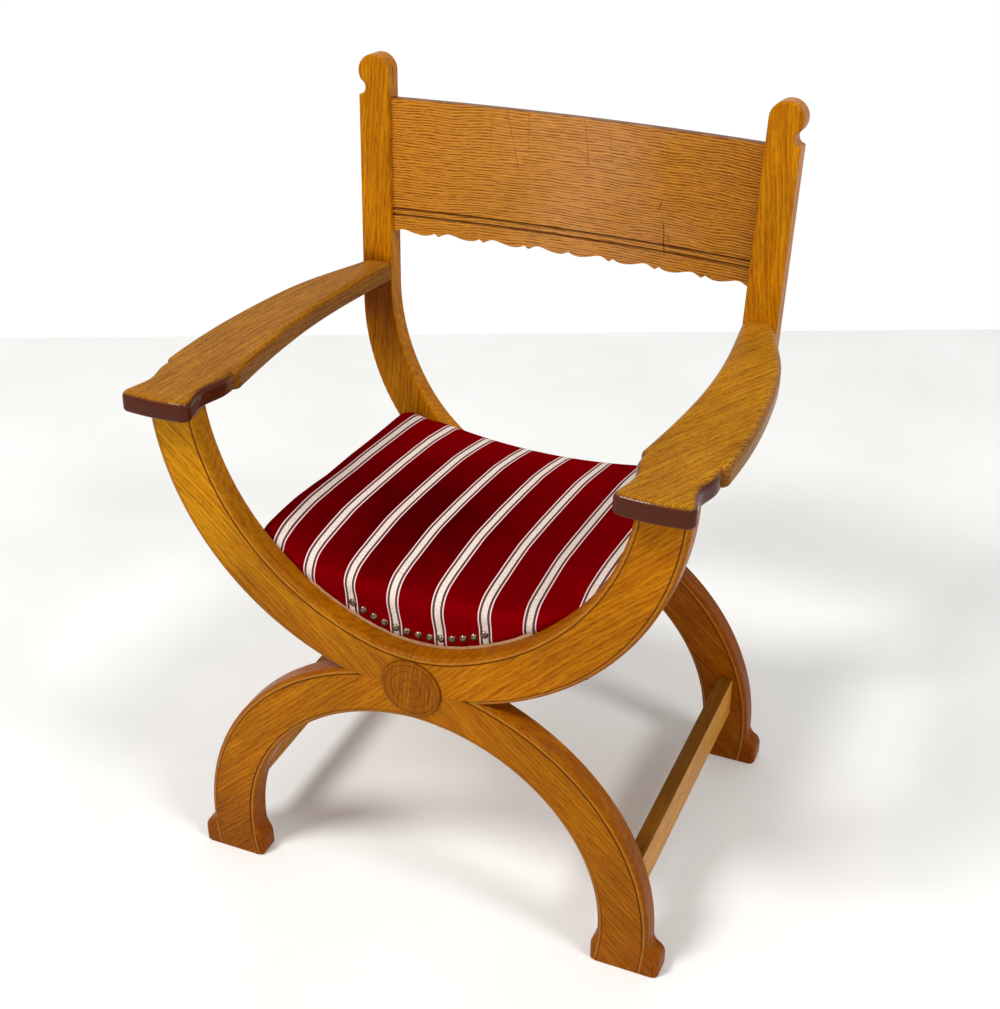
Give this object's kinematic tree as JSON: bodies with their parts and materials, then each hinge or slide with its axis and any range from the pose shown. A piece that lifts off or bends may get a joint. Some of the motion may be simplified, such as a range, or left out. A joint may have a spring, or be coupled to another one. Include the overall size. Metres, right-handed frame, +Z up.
{
  "type": "armchair",
  "caption": "Rigid curule armchair: X-shaped sawn oak frames, bowed arms, bent back panel with a scalloped edge and a fixed upholstered seat.",
  "frame": {"origin": "on the floor below the middle of the chair's box", "axes": "+Z up, the chair faces -Y, +X to the right of someone who looks at its front"},
  "size_m": [0.6638, 0.5379, 0.9057],
  "materials": {
    "oak": "waxed golden oak",
    "oak_arm": "waxed oak, darker edges",
    "oak_panel": "waxed oak with open pores",
    "beech": "bare",
    "plywood": "bare",
    "stuffing": "calico over hair and wadding",
    "velvet": "cut velvet with woven stripes",
    "nail_brass": "antiqued",
    "steel": "zinc plated"
  },
  "bodies": {
    "root": {"arm_dowels": "beech", "armrest_left": "oak_arm", "armrest_right": "oak_arm", "back_panel": "oak_panel", "deck_screws": "steel", "front_arc_left": "oak", "front_arc_right": "oak", "front_boss": "oak", "front_frame_dowels": "beech", "front_leg_left": "oak", "front_leg_right": "oak", "rail_dowels": "beech", "rail_screws": "steel", "rear_boss": "oak", "rear_frame_dowels": "beech", "rear_leg_left": "oak", "rear_leg_right": "oak", "rear_upright_left": "oak", "rear_upright_right": "oak", "seat_cover": "velvet", "seat_deck": "plywood", "seat_nails": "nail_brass", "seat_pad": "stuffing", "seat_rail_front": "beech", "seat_rail_left": "beech", "seat_rail_rear": "beech", "seat_rail_right": "beech", "stretcher_dowels": "beech", "stretcher_left": "oak", "stretcher_right": "oak"}
  },
  "joints": []
}
